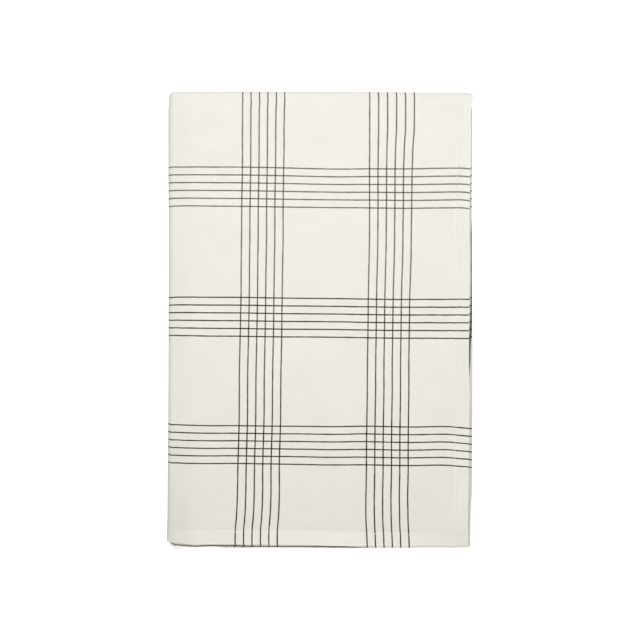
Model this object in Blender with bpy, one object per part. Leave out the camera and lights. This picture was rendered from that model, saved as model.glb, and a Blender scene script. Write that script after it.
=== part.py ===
"""A cotton tablecloth with hemmed edges, folded in half twice each way and lying flat.

It is one thin closed sheet. In metres, +Z up. X runs across the folded cloth, from the last fold at -X
to the side hems at +X. Y runs along it, from the end hems at -Y to the nested end folds at +Y. The
origin is in the middle of the underside's box.
"""

from collections import namedtuple
from math import pi

import bmesh
import bpy
import numpy as np

# The cloth as it was sewn.
CLOTH_WIDTH = 1.524
CLOTH_LENGTH = 2.286
SHEET = 0.0010  # thickness of one layer
GAP = 0.0003  # air between neighbouring layers
SIDE_HEM = 0.0165  # width of the hem along the cloth's long side
END_HEM = 0.0190  # width of the hem across the cloth's end
HEM_RAISE = 0.0003  # how far a hem stands proud on the top of the folded cloth
HEM_STEP = 0.0012  # width of the slope from the cloth up to its hem

# How far the cloth's other ends stop short of the first hem, along and across.
ALONG_SHORT = {"middle": 0.0035, "last": 0.0010}
ACROSS_SHORT = {"middle": 0.0015, "last": 0.0010}

# Rows of points along each run of the cloth and round each turn, along its length and across its width.
# Every run has the same rows, so that neighbouring layers bend alike.
ALONG_STEPS = {"run": 6, "outer": 6, "middle": 4, "inner": 4}
ACROSS_STEPS = {"run": 4, "outer": 10, "middle": 8, "inner": 6}

# How far the last fold at -X and the middle fold at +X reach past their straight places. Here y is
# measured from the middle of the folded cloth.
FoldEdge = namedtuple("FoldEdge", "y last middle")
FOLD_EDGES = (
    FoldEdge(-0.290, 0.0022, -0.0026),
    FoldEdge(-0.225, 0.0016, -0.0018),
    FoldEdge(-0.130, 0.0010, -0.0006),
    FoldEdge(0.000, 0.0001, 0.0002),
    FoldEdge(0.150, 0.0000, 0.0002),
    FoldEdge(0.290, 0.0000, -0.0004),
)

# How far the side hems reach past their straight places at +X, in the order of the cloth's length.
# A share of 0 is the end hem on top, 0.25 the outer end fold and 0.5 the middle one.
SideHem = namedtuple("SideHem", "share first last")
SIDE_HEMS = (
    SideHem(0.000, -0.0036, -0.0015),
    SideHem(0.036, -0.0030, -0.0020),
    SideHem(0.080, -0.0026, -0.0010),
    SideHem(0.130, -0.0022, 0.0003),
    SideHem(0.180, -0.0006, 0.0008),
    SideHem(0.250, 0.0000, 0.0000),
    SideHem(0.375, -0.0008, -0.0014),
    SideHem(0.500, -0.0030, -0.0010),
    SideHem(0.625, -0.0006, 0.0004),
    SideHem(0.750, -0.0002, -0.0006),
    SideHem(0.825, 0.0008, -0.0012),
    SideHem(0.855, 0.0003, -0.0008),
    SideHem(0.885, 0.0010, 0.0002),
    SideHem(0.950, 0.0010, 0.0004),
    SideHem(1.000, -0.0024, -0.0012),
)

# How far the end hems and the middle fold reach past their straight places at -Y, in the order of the
# cloth's width. A share of 0 is the side hem on top, 0.25 the outer last fold and 0.5 the middle one.
EndEdge = namedtuple("EndEdge", "share first middle last")
END_EDGES = (
    EndEdge(0.000, 0.0006, -0.0010, 0.0000),
    EndEdge(0.060, 0.0011, -0.0014, -0.0004),
    EndEdge(0.120, 0.0004, -0.0012, -0.0008),
    EndEdge(0.190, -0.0013, -0.0006, 0.0002),
    EndEdge(0.225, -0.0016, 0.0004, 0.0024),
    EndEdge(0.245, -0.0016, 0.0004, 0.0020),
    EndEdge(0.253, -0.0036, -0.0010, -0.0008),
    EndEdge(0.264, -0.0012, -0.0006, 0.0004),
    EndEdge(0.330, 0.0006, -0.0008, 0.0002),
    EndEdge(0.500, -0.0004, -0.0016, -0.0012),
    EndEdge(0.660, 0.0004, -0.0012, 0.0002),
    EndEdge(0.750, 0.0008, 0.0002, -0.0012),
    EndEdge(0.880, -0.0008, -0.0010, 0.0004),
    EndEdge(1.000, 0.0002, -0.0004, -0.0006),
)

# At its free corner, the end fold at +Y is drawn in by a little.
CORNER_DRAW = 0.0016
CORNER_REACH = 0.012

# Soft unevenness of the folded cloth's height: shares of it, and waves per metre across and along.
Swell = namedtuple("Swell", "share across along start")
SWELLS = (
    Swell(0.016, 2.1, 1.3, 0.4),
    Swell(0.010, 4.6, -3.1, 1.9),
    Swell(0.006, 7.3, 6.2, 4.1),
)

Turn = namedtuple("Turn", "along height radius begins ends")


class TwiceFolded:
    """The middle line of a band folded in half twice, in a plane of its own.

    It starts at the first end on top and runs to the folds' axis, round the outer turn to the bottom,
    back out to the middle turn, in again, round the inner turn, and out to the last end. `along` is the
    distance from the folds' axis, and `height` is measured from the underside.
    """

    def __init__(self, length, thickness, gap, short, steps):
        self.thickness = thickness
        pitch = thickness + gap
        outer, inner = 1.5 * pitch, 0.5 * pitch
        round_end = inner + thickness / 2
        turns = pi * (outer + 2 * inner)
        self.reach = (length - turns + 2 * (round_end + short["middle"]) + short["last"]) / 4
        middle_reach = self.reach - round_end - short["middle"]
        last_reach = self.reach - short["last"]
        low = thickness / 2
        self.pieces = (
            self.run(self.reach, self.reach, 0.0, low + 3 * pitch, 0.0, steps["run"]),
            self.turn(Turn(0.0, low + outer, outer, 0.0, pi), steps["outer"]),
            self.run(middle_reach, 0.0, middle_reach, low, pi, steps["run"]),
            self.turn(Turn(middle_reach, low + inner, inner, pi, 2 * pi), steps["middle"]),
            self.run(middle_reach, middle_reach, 0.0, low + pitch, 2 * pi, steps["run"]),
            self.turn(Turn(0.0, low + outer, -inner, 2 * pi, pi), steps["inner"]),
            self.run(last_reach, 0.0, last_reach, low + 2 * pitch, pi, steps["run"]),
        )

    @staticmethod
    def run(length, start, end, height, facing, steps):
        """A straight piece: its length, its places at a share of it, and its steps."""

        def at(share):
            return start + (end - start) * share, height + 0 * share, facing + 0 * share

        return length, at, steps

    @staticmethod
    def turn(turn, steps):
        """A half turn, whose radius is negative where the face of the band is on its inside."""

        def at(share):
            facing = turn.begins + (turn.ends - turn.begins) * share
            return (
                turn.along - turn.radius * np.sin(facing),
                turn.height + turn.radius * np.cos(facing),
                facing,
            )

        return pi * abs(turn.radius), at, steps

    def stations(self, extra=()):
        """Where the band has a row of points, in the order of its length."""
        found, start = [0.0], 0.0
        for length, _, steps in self.pieces:
            found += [start + length * (i + 1) / steps for i in range(steps)]
            start += length
        return np.array(sorted(found + list(extra)))

    def place(self, at, offset):
        """Along and height of points at these lengths, this far from the middle line on its face side."""
        along, height, facing = (np.zeros_like(at) for _ in range(3))
        start = 0.0
        for length, shape, _ in self.pieces:
            inside = at >= start
            share = np.clip((at - start) / length, 0.0, 1.0)
            for values, new in zip((along, height, facing), shape(share)):
                values[inside] = new[inside]
            start += length
        return along - offset * np.sin(facing), height + offset * np.cos(facing)

    def end_of(self, at):
        """Which end these lengths run out to: 0 the first, 1 the middle turn, 2 the last."""
        lengths = [piece[0] for piece in self.pieces]
        first = sum(lengths[:1]) + lengths[1] / 2
        last = sum(lengths[:5]) + lengths[5] / 2
        return (at > first).astype(int) + (at > last).astype(int)


def ease(share):
    """From 0 to 1 with level ends."""
    share = np.clip(share, 0.0, 1.0)
    return share * share * (3 - 2 * share)


def curve_through(at, places, values):
    """A smooth curve through a table's values, read at these places."""
    places, values = np.array(places), np.array(values)
    slopes = np.gradient(values, places)
    i = np.clip(np.searchsorted(places, at) - 1, 0, len(places) - 2)
    step = places[i + 1] - places[i]
    f = np.clip((at - places[i]) / step, 0.0, 1.0)
    return (
        values[i] * (1 - f) ** 2 * (1 + 2 * f)
        + values[i + 1] * f * f * (3 - 2 * f)
        + slopes[i] * step * f * (1 - f) ** 2
        - slopes[i + 1] * step * f * f * (1 - f)
    )


def table_curve(table, at, column):
    """One column of a table as a smooth curve over its first column."""
    return curve_through(at, [row[0] for row in table], [getattr(row, column) for row in table])


def hem_rise(width_at, length_at, section, stack):
    """How far the hems lift the cloth's face on top of the stack, and nothing where it is turned under."""
    hem = np.maximum(
        1 - ease((width_at - SIDE_HEM) / HEM_STEP), 1 - ease((length_at - END_HEM) / HEM_STEP)
    )
    on_top = (1 - ease((width_at - stack.reach) / stack.thickness)) * (
        1 - ease((length_at - section.reach) / section.thickness)
    )
    return HEM_RAISE * hem * on_top


def folded(width_at, length_at, face, section, stack):
    """Places of points of the flat cloth once it is folded. `face` is 1 on its face and 0 on its back."""
    offset = SHEET * (face - 0.5) + face * hem_rise(width_at, length_at, section, stack)
    along, layer_height = section.place(length_at, offset)
    across, height = stack.place(width_at, layer_height - stack.thickness / 2)

    width_share = width_at / CLOTH_WIDTH
    edges = [table_curve(END_EDGES, width_share, end) for end in ("first", "middle", "last")]
    along += ease(along / section.reach) * np.choose(section.end_of(length_at), edges)
    y = section.reach / 2 - along

    length_share = length_at / CLOTH_LENGTH
    edges = (
        table_curve(SIDE_HEMS, length_share, "first"),
        table_curve(FOLD_EDGES, y, "middle"),
        table_curve(SIDE_HEMS, length_share, "last"),
    )
    outward = ease(across / stack.reach)
    x = across - stack.reach / 2 + outward * np.choose(stack.end_of(width_at), edges)
    x -= (1 - outward) * table_curve(FOLD_EDGES, y, "last")
    corner = ease(1 - (stack.reach - across) / CORNER_REACH)
    y -= CORNER_DRAW * corner * (1 - ease(along / section.reach))

    swell = sum(
        s.share * np.sin(2 * pi * (s.across * x + s.along * y) + s.start) for s in SWELLS
    )
    return x, y, height * (1 + swell)


def cloth_mesh():
    """The flat cloth as a thin closed slab of quads, folded up point by point."""
    section = TwiceFolded(CLOTH_LENGTH, SHEET, GAP, ALONG_SHORT, ALONG_STEPS)
    four_layers = 4 * SHEET + 3 * GAP
    stack = TwiceFolded(CLOTH_WIDTH, four_layers, GAP, ACROSS_SHORT, ACROSS_STEPS)
    widths = stack.stations(extra=(SIDE_HEM, SIDE_HEM + HEM_STEP))
    lengths = section.stations(extra=(END_HEM, END_HEM + HEM_STEP))
    shape = (2, len(widths), len(lengths))
    face = np.broadcast_to(np.array([0.0, 1.0])[:, None, None], shape)
    width_at = np.broadcast_to(widths[None, :, None], shape)
    length_at = np.broadcast_to(lengths[None, None, :], shape)
    points = np.stack(folded(width_at, length_at, face, section, stack), axis=-1)
    low, high = points.min(axis=(0, 1, 2)), points.max(axis=(0, 1, 2))
    points -= ((low[0] + high[0]) / 2, (low[1] + high[1]) / 2, 0.0)

    bm = bmesh.new()
    back, front = (
        [[bm.verts.new(point) for point in row] for row in side] for side in points
    )
    last_i, last_j = len(widths) - 1, len(lengths) - 1
    for i in range(last_i):
        for j in range(last_j):
            bm.faces.new((front[i][j], front[i][j + 1], front[i + 1][j + 1], front[i + 1][j]))
            bm.faces.new((back[i][j], back[i + 1][j], back[i + 1][j + 1], back[i][j + 1]))
    rim = (
        [(i, 0) for i in range(last_i)]
        + [(last_i, j) for j in range(last_j)]
        + [(i, last_j) for i in range(last_i, 0, -1)]
        + [(0, j) for j in range(last_j, 0, -1)]
    )
    for (i, j), (k, m) in zip(rim, rim[1:] + rim[:1]):
        bm.faces.new((back[i][j], front[i][j], front[k][m], back[k][m]))
    bmesh.ops.recalc_face_normals(bm, faces=bm.faces)
    mesh = bpy.data.meshes.new("tablecloth")
    bm.to_mesh(mesh)
    bm.free()
    mesh.shade_smooth()
    mesh.set_sharp_from_angle(angle=pi / 4)
    return mesh


def cloth_material():
    """Off-white woven cotton."""
    material = bpy.data.materials.new("cotton")
    material.use_nodes = True
    shader = material.node_tree.nodes["Principled BSDF"]
    shader.inputs["Base Color"].default_value = (0.80, 0.78, 0.72, 1.0)
    shader.inputs["Roughness"].default_value = 0.9
    shader.inputs["Metallic"].default_value = 0.0
    material.diffuse_color = (0.80, 0.78, 0.72, 1.0)
    return material


def main():
    for thing in list(bpy.data.objects):
        bpy.data.objects.remove(thing, do_unlink=True)
    cloth = bpy.data.objects.new("tablecloth", cloth_mesh())
    cloth.data.materials.append(cloth_material())
    bpy.context.scene.collection.objects.link(cloth)


main()
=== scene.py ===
"""The looks of an off-white cotton tablecloth, folded in half twice each way and lying on a pale floor.

The cloth is one thin sheet with turned hems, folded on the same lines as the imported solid. Everything is
in metres, +Z up: X runs across the folded cloth and Y along it.
"""

from collections import namedtuple
from math import cos, pi, sin

import bpy
import numpy as np
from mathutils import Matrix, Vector


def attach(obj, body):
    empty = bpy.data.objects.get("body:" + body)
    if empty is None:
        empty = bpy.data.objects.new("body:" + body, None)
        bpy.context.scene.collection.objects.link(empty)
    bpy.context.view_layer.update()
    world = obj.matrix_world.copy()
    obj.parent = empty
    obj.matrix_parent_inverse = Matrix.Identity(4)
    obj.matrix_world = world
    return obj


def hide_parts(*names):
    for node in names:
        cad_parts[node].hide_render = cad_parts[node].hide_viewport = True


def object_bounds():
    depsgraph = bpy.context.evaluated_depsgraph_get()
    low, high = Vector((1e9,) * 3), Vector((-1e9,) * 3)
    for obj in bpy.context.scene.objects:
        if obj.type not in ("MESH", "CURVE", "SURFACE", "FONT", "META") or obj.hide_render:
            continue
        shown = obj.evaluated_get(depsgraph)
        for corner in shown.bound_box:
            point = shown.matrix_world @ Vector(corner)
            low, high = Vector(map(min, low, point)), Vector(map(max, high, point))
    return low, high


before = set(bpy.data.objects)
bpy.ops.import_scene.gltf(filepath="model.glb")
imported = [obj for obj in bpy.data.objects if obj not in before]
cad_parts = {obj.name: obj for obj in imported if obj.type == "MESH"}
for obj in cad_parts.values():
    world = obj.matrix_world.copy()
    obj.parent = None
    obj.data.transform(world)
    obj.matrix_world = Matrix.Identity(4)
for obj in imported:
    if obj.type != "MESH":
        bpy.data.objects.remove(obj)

CAD_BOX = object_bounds()

# The cloth as it was sewn, and the slot that each of its layers fills in the folded solid.
CLOTH_WIDTH = 1.524
CLOTH_LENGTH = 2.286
LAYER = 0.0010  # the slot's height
GAP = 0.0003  # from one slot to the next
CLOTH = 0.00042  # thickness of the woven cotton
HEM_THICKNESS = 0.00096
SIDE_HEM = 0.0165
END_HEM = 0.0190
HEM_RAISE = 0.0003  # how far the top's hems stand out of their slots
HEM_STEP = 0.0012  # width of the slope at a hem's inner edge

# The hems are sewn down with a straight row of stitches, this far in from the hem's inner edge.
STITCH_LENGTH = 0.0024
STITCH_PITCH = 0.0031
STITCH_WIDTH = 0.0006
STITCH_HEIGHT = 0.00018
STITCH_INSET = 0.0015

# Points of one stitch: its tip, three rings, and its other tip, as shares of its length, of half its
# width and of its height.
STITCH_RING = ((-1, 0), (0, 1), (1, 0), (0, -1))
STITCH_RINGS = ((-0.30, 0.8), (0.00, 1.0), (0.30, 0.8))
STITCH_SHAPE = (
    (-0.50, 0.0, 0.1),
    *((along, size * side, size * up) for along, size in STITCH_RINGS for side, up in STITCH_RING),
    (0.50, 0.0, 0.1),
)

# How far the middle fold and the last hem stop short of the first hem, along and across.
ALONG_SHORT = {"middle": 0.0035, "last": 0.0010}
ACROSS_SHORT = {"middle": 0.0015, "last": 0.0010}

# Spacing of the rows of points on the top run and on the other runs, and steps round each turn.
TOP_SPACING = 0.0048
HIDDEN_SPACING = 0.030
ALONG_TURNS = {"outer": 10, "middle": 8, "inner": 6}
ACROSS_TURNS = {"outer": 18, "middle": 12, "inner": 8}

# Rows of points at a hem: distances from its rounded edge, and places beside its inner edge.
EDGE_ROWS = (0.0, 0.00004, 0.00016, 0.00034, 0.0006, 0.0012, 0.004, 0.008)
SEAM_ROWS = (-0.0045, -0.0030, -0.0020, -0.0012, -0.0006, 0.0, 0.0006, 0.0012, 0.0022, 0.0040)
SEAM_FADE = 0.06  # this far from the cloth's edge the rows are straight again
EDGE_ROUND = 0.98  # how much of the way to a sharp tip the edge is rounded

# How far the last fold at -X and the middle fold at +X reach past their straight places. Here y is
# measured from the middle of the folded cloth.
FoldEdge = namedtuple("FoldEdge", "y last middle")
FOLD_EDGES = (
    FoldEdge(-0.287, -0.0020, 0.0002),
    FoldEdge(-0.281, 0.0004, 0.0005),
    FoldEdge(-0.267, 0.0006, 0.0006),
    FoldEdge(-0.242, 0.0002, 0.0009),
    FoldEdge(-0.222, 0.0000, 0.0022),
    FoldEdge(-0.178, -0.0003, 0.0026),
    FoldEdge(-0.127, -0.0008, 0.0030),
    FoldEdge(-0.066, -0.0010, 0.0032),
    FoldEdge(-0.030, -0.0011, 0.0032),
    FoldEdge(0.026, -0.0013, 0.0027),
    FoldEdge(0.090, -0.0015, 0.0026),
    FoldEdge(0.135, -0.0013, 0.0024),
    FoldEdge(0.200, -0.0009, 0.0026),
    FoldEdge(0.250, -0.0009, 0.0028),
    FoldEdge(0.268, -0.0010, 0.0028),
    FoldEdge(0.276, -0.0018, 0.0022),
    FoldEdge(0.280, -0.0018, 0.0018),
    FoldEdge(0.284, -0.0019, 0.0011),
    FoldEdge(0.288, -0.0029, 0.0004),
)

# How far the side hems reach past their straight places at +X, in the order of the cloth's length.
# A share of 0 is the end hem on top, 0.25 the outer end fold and 0.5 the middle one.
SideHem = namedtuple("SideHem", "share first last")
SIDE_HEMS = (
    SideHem(0.000, -0.0052, -0.0045),
    SideHem(0.008, -0.0053, -0.0046),
    SideHem(0.019, -0.0053, -0.0048),
    SideHem(0.026, -0.0048, -0.0050),
    SideHem(0.032, -0.0046, -0.0050),
    SideHem(0.050, -0.0044, -0.0050),
    SideHem(0.070, -0.0035, -0.0040),
    SideHem(0.087, -0.0032, -0.0037),
    SideHem(0.096, -0.0038, -0.0037),
    SideHem(0.104, -0.0041, -0.0037),
    SideHem(0.122, -0.0038, -0.0037),
    SideHem(0.137, -0.0034, -0.0032),
    SideHem(0.164, -0.0029, -0.0032),
    SideHem(0.183, -0.0032, -0.0032),
    SideHem(0.199, -0.0026, -0.0026),
    SideHem(0.214, -0.0018, -0.0020),
    SideHem(0.230, -0.0013, -0.0020),
    SideHem(0.240, -0.0015, -0.0020),
    SideHem(0.244, -0.0004, -0.0020),
    SideHem(0.247, 0.0009, -0.0020),
    SideHem(0.250, 0.0010, -0.0040),
    SideHem(0.256, -0.0040, -0.0050),
    SideHem(0.375, -0.0050, -0.0060),
    SideHem(0.500, -0.0052, -0.0070),
    SideHem(0.625, -0.0050, -0.0060),
    SideHem(0.740, -0.0045, -0.0050),
    SideHem(0.750, -0.0040, -0.0040),
    SideHem(0.760, -0.0045, -0.0050),
    SideHem(0.825, -0.0050, -0.0060),
    SideHem(0.885, -0.0056, -0.0060),
    SideHem(1.000, -0.0078, -0.0070),
)

# How far the end hems and the middle fold reach past their straight places at -Y, in the order of the
# cloth's width. A share of 0 is the side hem on top, 0.25 the outer last fold and 0.5 the middle one.
EndEdge = namedtuple("EndEdge", "share first middle last")
END_EDGES = (
    EndEdge(0.000, -0.0025, 0.0043, -0.0040),
    EndEdge(0.010, -0.0020, 0.0049, -0.0040),
    EndEdge(0.031, -0.0018, 0.0049, -0.0040),
    EndEdge(0.060, -0.0015, 0.0052, -0.0040),
    EndEdge(0.090, -0.0018, 0.0051, -0.0040),
    EndEdge(0.115, -0.0020, 0.0051, -0.0040),
    EndEdge(0.140, -0.0029, 0.0046, -0.0046),
    EndEdge(0.175, -0.0034, 0.0042, -0.0044),
    EndEdge(0.200, -0.0038, 0.0035, -0.0048),
    EndEdge(0.219, -0.0038, 0.0036, -0.0050),
    EndEdge(0.229, -0.0045, 0.0043, -0.0055),
    EndEdge(0.238, -0.0051, 0.0040, -0.0060),
    EndEdge(0.242, -0.0059, 0.0052, -0.0060),
    EndEdge(0.245, -0.0066, 0.0061, -0.0065),
    EndEdge(0.247, -0.0062, 0.0062, -0.0070),
    EndEdge(0.249, -0.0061, 0.0047, -0.0080),
    EndEdge(0.251, -0.0065, 0.0022, -0.0080),
    EndEdge(0.256, -0.0072, -0.0020, -0.0060),
    EndEdge(0.280, -0.0020, -0.0020, -0.0030),
    EndEdge(0.330, 0.0000, -0.0014, -0.0012),
    EndEdge(0.440, 0.0000, -0.0018, -0.0020),
    EndEdge(0.480, 0.0010, -0.0020, -0.0020),
    EndEdge(0.500, 0.0019, -0.0020, -0.0020),
    EndEdge(0.520, 0.0010, -0.0020, -0.0020),
    EndEdge(0.560, 0.0000, -0.0018, -0.0016),
    EndEdge(0.660, 0.0000, -0.0014, -0.0008),
    EndEdge(0.735, -0.0020, -0.0020, -0.0030),
    EndEdge(0.750, -0.0060, -0.0030, -0.0060),
    EndEdge(0.765, -0.0020, -0.0020, -0.0030),
    EndEdge(0.880, -0.0010, -0.0014, 0.0000),
    EndEdge(1.000, -0.0020, -0.0024, -0.0020),
)

# The hems were turned by hand: how much wider or narrower they are, over the share of their own length.
HemWidth = namedtuple("HemWidth", "share side end")
HEM_WIDTHS = (
    HemWidth(0.000, -0.0024, -0.0030),
    HemWidth(0.030, 0.0000, -0.0030),
    HemWidth(0.070, 0.0026, -0.0022),
    HemWidth(0.115, -0.0002, -0.0010),
    HemWidth(0.160, 0.0003, -0.0010),
    HemWidth(0.215, 0.0008, -0.0020),
    HemWidth(0.232, -0.0040, -0.0023),
    HemWidth(0.250, -0.0038, -0.0026),
    HemWidth(0.400, 0.0006, 0.0000),
    HemWidth(0.600, -0.0008, 0.0008),
    HemWidth(0.800, 0.0010, -0.0006),
    HemWidth(1.000, -0.0004, 0.0004),
)

# A hem is three layers thick and stands a little proud, and the light on it is painted: how much lighter
# it is painted than the single cloth, over the share of the cloth's length for the side hems and of its
# width for the end hems.
PaintedHemLight = namedtuple("PaintedHemLight", "share side end")
PAINTED_HEM_LIGHTS = (
    PaintedHemLight(0.000, 0.00, 0.00),
    PaintedHemLight(0.012, 0.01, 0.01),
    PaintedHemLight(0.030, 0.03, 0.03),
    PaintedHemLight(0.050, 0.03, 0.05),
    PaintedHemLight(0.080, 0.00, 0.08),
    PaintedHemLight(0.140, 0.00, 0.08),
    PaintedHemLight(0.190, 0.00, 0.06),
    PaintedHemLight(0.240, 0.01, 0.05),
    PaintedHemLight(1.000, 0.01, 0.05),
)

# Painted shade by the last fold at -X, where the cloth is painted a little darker: by how much, over the
# share of the cloth's length, and how far in from the fold.
PaintedFoldShade = namedtuple("PaintedFoldShade", "share grey")
PAINTED_FOLD_SHADES = (
    PaintedFoldShade(0.000, 0.11),
    PaintedFoldShade(0.010, 0.09),
    PaintedFoldShade(0.030, 0.06),
    PaintedFoldShade(0.060, 0.04),
    PaintedFoldShade(0.150, 0.04),
    PaintedFoldShade(0.180, 0.03),
    PaintedFoldShade(0.235, 0.03),
    PaintedFoldShade(0.243, 0.02),
    PaintedFoldShade(0.247, 0.01),
    PaintedFoldShade(0.250, 0.01),
)
PAINTED_FOLD_SHADE_REACH = 0.030
PAINTED_FAR_SHADE = 0.05  # painted shade of the outer end fold's rounding at +Y: how much darker it is painted at the side hem
PAINTED_FAR_SHADE_REACH = 0.004
PAINTED_FAR_SHADE_CORNER = 0.06  # the share of the cloth's width over which this halves
PAINTED_RIM_LIGHT = 0.18  # painted light: how much lighter the middle fold is painted where it shows in the shade under the hem at -Y
PAINTED_RIM_LIGHT_REACH = 0.006
PAINTED_EDGE_HIGHLIGHT = 0.08  # painted highlight: how much lighter a hem's turned edge is painted
PAINTED_EDGE_HIGHLIGHT_REACH = 0.0022
PAINTED_CREVICE_SHADE = 0.15  # painted shade: how much darker the middle fold at +X is painted in the crevice where the hem lies over it
PAINTED_CREVICE_SHADE_REACH = 0.0018
PAINTED_CREVICE_SHADE_END = 0.010

# Faint darker strokes painted into the cloth, for thick yarns and, at small pinched places, as painted
# shade: their middles in the pattern, their turn from the line across the cloth, their sizes, and how much
# darker they are.
Mark = namedtuple("Mark", "across along turn length width dark")
MARKS = (
    Mark(0.0560, 0.2359, 0.80, 0.0032, 0.0014, 0.07),
    Mark(0.0532, 0.2329, 0.80, 0.0072, 0.0012, 0.04),
    Mark(0.0455, 0.0602, 0.05, 0.0060, 0.0012, 0.02),
    Mark(0.0259, 0.0494, 0.05, 0.0100, 0.0014, 0.03),
    Mark(0.0135, 0.0199, 0.70, 0.0055, 0.0016, 0.05),
)

# The fold at +X is pressed to a lip: its upper half leans out by this much.
FOLD_LIP = 0.0022

# How far the end folds reach past their straight places at +Y, over the share of the cloth's width.
FarEdge = namedtuple("FarEdge", "share reach")
FAR_EDGES = (
    FarEdge(0.000, -0.0028),
    FarEdge(0.002, -0.0020),
    FarEdge(0.006, -0.0014),
    FarEdge(0.030, -0.0009),
    FarEdge(0.060, -0.0004),
    FarEdge(0.120, -0.0001),
    FarEdge(0.200, 0.0002),
    FarEdge(0.222, 0.0005),
    FarEdge(0.232, 0.0004),
    FarEdge(0.239, 0.0000),
    FarEdge(0.243, -0.0002),
    FarEdge(0.246, -0.0001),
    FarEdge(0.248, 0.0000),
    FarEdge(0.250, 0.0000),
    FarEdge(0.253, -0.0002),
    FarEdge(0.262, -0.0006),
    FarEdge(0.275, -0.0005),
    FarEdge(0.290, -0.0001),
    FarEdge(0.330, 0.0000),
    FarEdge(0.500, 0.0000),
    FarEdge(1.000, -0.0010),
)

# Soft unevenness of the folded cloth's height: shares of it, and waves per metre across and along.
Swell = namedtuple("Swell", "share across along start")
SWELLS = (
    Swell(0.016, 2.1, 1.3, 0.4),
    Swell(0.010, 4.6, -3.1, 1.9),
    Swell(0.006, 7.3, 6.2, 4.1),
)

# The woven check: thin dark lines in groups of six, both ways.
LINE_WIDTH = 0.00170
LINE_SOFTNESS = 0.12  # the share of a line's width over which each of its edges fades
LINES = 6
Lines = namedtuple("Lines", "first_group pitch spacing")
ACROSS_LINES = Lines(0.1024, 0.1624, 0.01054)
ALONG_LINES = Lines(0.1282, 0.1630, 0.00976)
THREAD = 0.00042  # from one thread to the next

# The cloth lies a little askew on top: how far the lines along it are moved toward the side hem, in the
# group near the hem and the group far from it, and how much wider the gaps between their lines are.
WarpShift = namedtuple("WarpShift", "along near near_gap far far_gap")
WARP_SHIFTS = (
    WarpShift(0.000, 0.0008, 0.00021, -0.0055, 0.00020),
    WarpShift(0.004, 0.0008, 0.00019, -0.0053, 0.00020),
    WarpShift(0.007, 0.0008, 0.00018, -0.0051, 0.00021),
    WarpShift(0.012, 0.0007, 0.00018, -0.0053, 0.00021),
    WarpShift(0.020, 0.0002, 0.00018, -0.0052, 0.00021),
    WarpShift(0.028, -0.0002, 0.00018, -0.0046, 0.00022),
    WarpShift(0.042, -0.0006, 0.00022, -0.0038, 0.00020),
    WarpShift(0.058, -0.0012, 0.00013, -0.0034, 0.00020),
    WarpShift(0.095, -0.0009, 0.00013, -0.0033, 0.00005),
    WarpShift(0.161, -0.0014, 0.00007, -0.0023, 0.00002),
    WarpShift(0.196, -0.0011, 0.00004, -0.0023, 0.00003),
    WarpShift(0.215, -0.0007, 0.00004, -0.0021, 0.00009),
    WarpShift(0.253, 0.0000, 0.00002, -0.0013, 0.00011),
    WarpShift(0.323, 0.0003, 0.00007, -0.0005, -0.00003),
    WarpShift(0.360, 0.0010, 0.00015, -0.0003, 0.00006),
    WarpShift(0.398, 0.0017, 0.00012, 0.0003, 0.00008),
    WarpShift(0.418, 0.0020, 0.00018, 0.0004, 0.00004),
    WarpShift(0.487, 0.0015, 0.00035, 0.0015, -0.00003),
    WarpShift(0.507, 0.0017, 0.00046, 0.0016, 0.00001),
    WarpShift(0.525, 0.0023, 0.00073, 0.0015, -0.00001),
    WarpShift(0.534, 0.0025, 0.00074, 0.0016, 0.00003),
    WarpShift(0.542, 0.0028, 0.00081, 0.0018, 0.00006),
    WarpShift(0.552, 0.0023, 0.00078, 0.0017, 0.00007),
    WarpShift(0.563, 0.0008, 0.00074, 0.0011, 0.00010),
    WarpShift(0.570, 0.0001, 0.00074, 0.0005, 0.00010),
)

# The same for the lines across the cloth, toward the end hem, in the groups in order from that hem.
WeftShift = namedtuple("WeftShift", "across first first_gap second second_gap third third_gap")
WEFT_SHIFTS = (
    WeftShift(0.000, 0.0044, 0.00000, 0.0033, 0.00020, 0.0010, 0.00032),
    WeftShift(0.004, 0.0041, 0.00002, 0.0038, 0.00022, 0.0010, 0.00031),
    WeftShift(0.008, 0.0037, 0.00005, 0.0039, 0.00021, 0.0010, 0.00026),
    WeftShift(0.012, 0.0033, 0.00004, 0.0038, 0.00021, 0.0010, 0.00025),
    WeftShift(0.017, 0.0028, 0.00004, 0.0041, 0.00019, 0.0012, 0.00024),
    WeftShift(0.022, 0.0022, 0.00003, 0.0040, 0.00017, 0.0013, 0.00026),
    WeftShift(0.034, 0.0017, 0.00001, 0.0041, 0.00015, 0.0014, 0.00028),
    WeftShift(0.045, 0.0018, -0.00002, 0.0039, 0.00013, 0.0015, 0.00028),
    WeftShift(0.065, 0.0021, -0.00001, 0.0040, 0.00008, 0.0021, 0.00023),
    WeftShift(0.139, 0.0014, -0.00001, 0.0037, 0.00003, 0.0024, 0.00007),
    WeftShift(0.164, 0.0019, -0.00007, 0.0033, 0.00001, 0.0025, -0.00003),
    WeftShift(0.190, 0.0022, -0.00010, 0.0033, 0.00003, 0.0023, -0.00001),
    WeftShift(0.228, 0.0023, -0.00016, 0.0034, 0.00007, 0.0017, 0.00011),
    WeftShift(0.300, 0.0020, -0.00021, 0.0028, 0.00014, 0.0008, 0.00015),
    WeftShift(0.337, 0.0022, -0.00019, 0.0029, 0.00010, 0.0009, 0.00012),
    WeftShift(0.350, 0.0025, -0.00012, 0.0030, 0.00008, 0.0008, 0.00011),
    WeftShift(0.360, 0.0025, -0.00008, 0.0029, 0.00008, 0.0006, 0.00007),
    WeftShift(0.368, 0.0029, -0.00007, 0.0032, 0.00011, 0.0005, 0.00012),
    WeftShift(0.374, 0.0033, -0.00004, 0.0035, 0.00005, 0.0006, 0.00018),
    WeftShift(0.380, 0.0028, -0.00004, 0.0037, -0.00009, 0.0008, 0.00022),
)
SHIFT_FADE = 0.15  # how far past the top both kinds of shift go on

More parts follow.
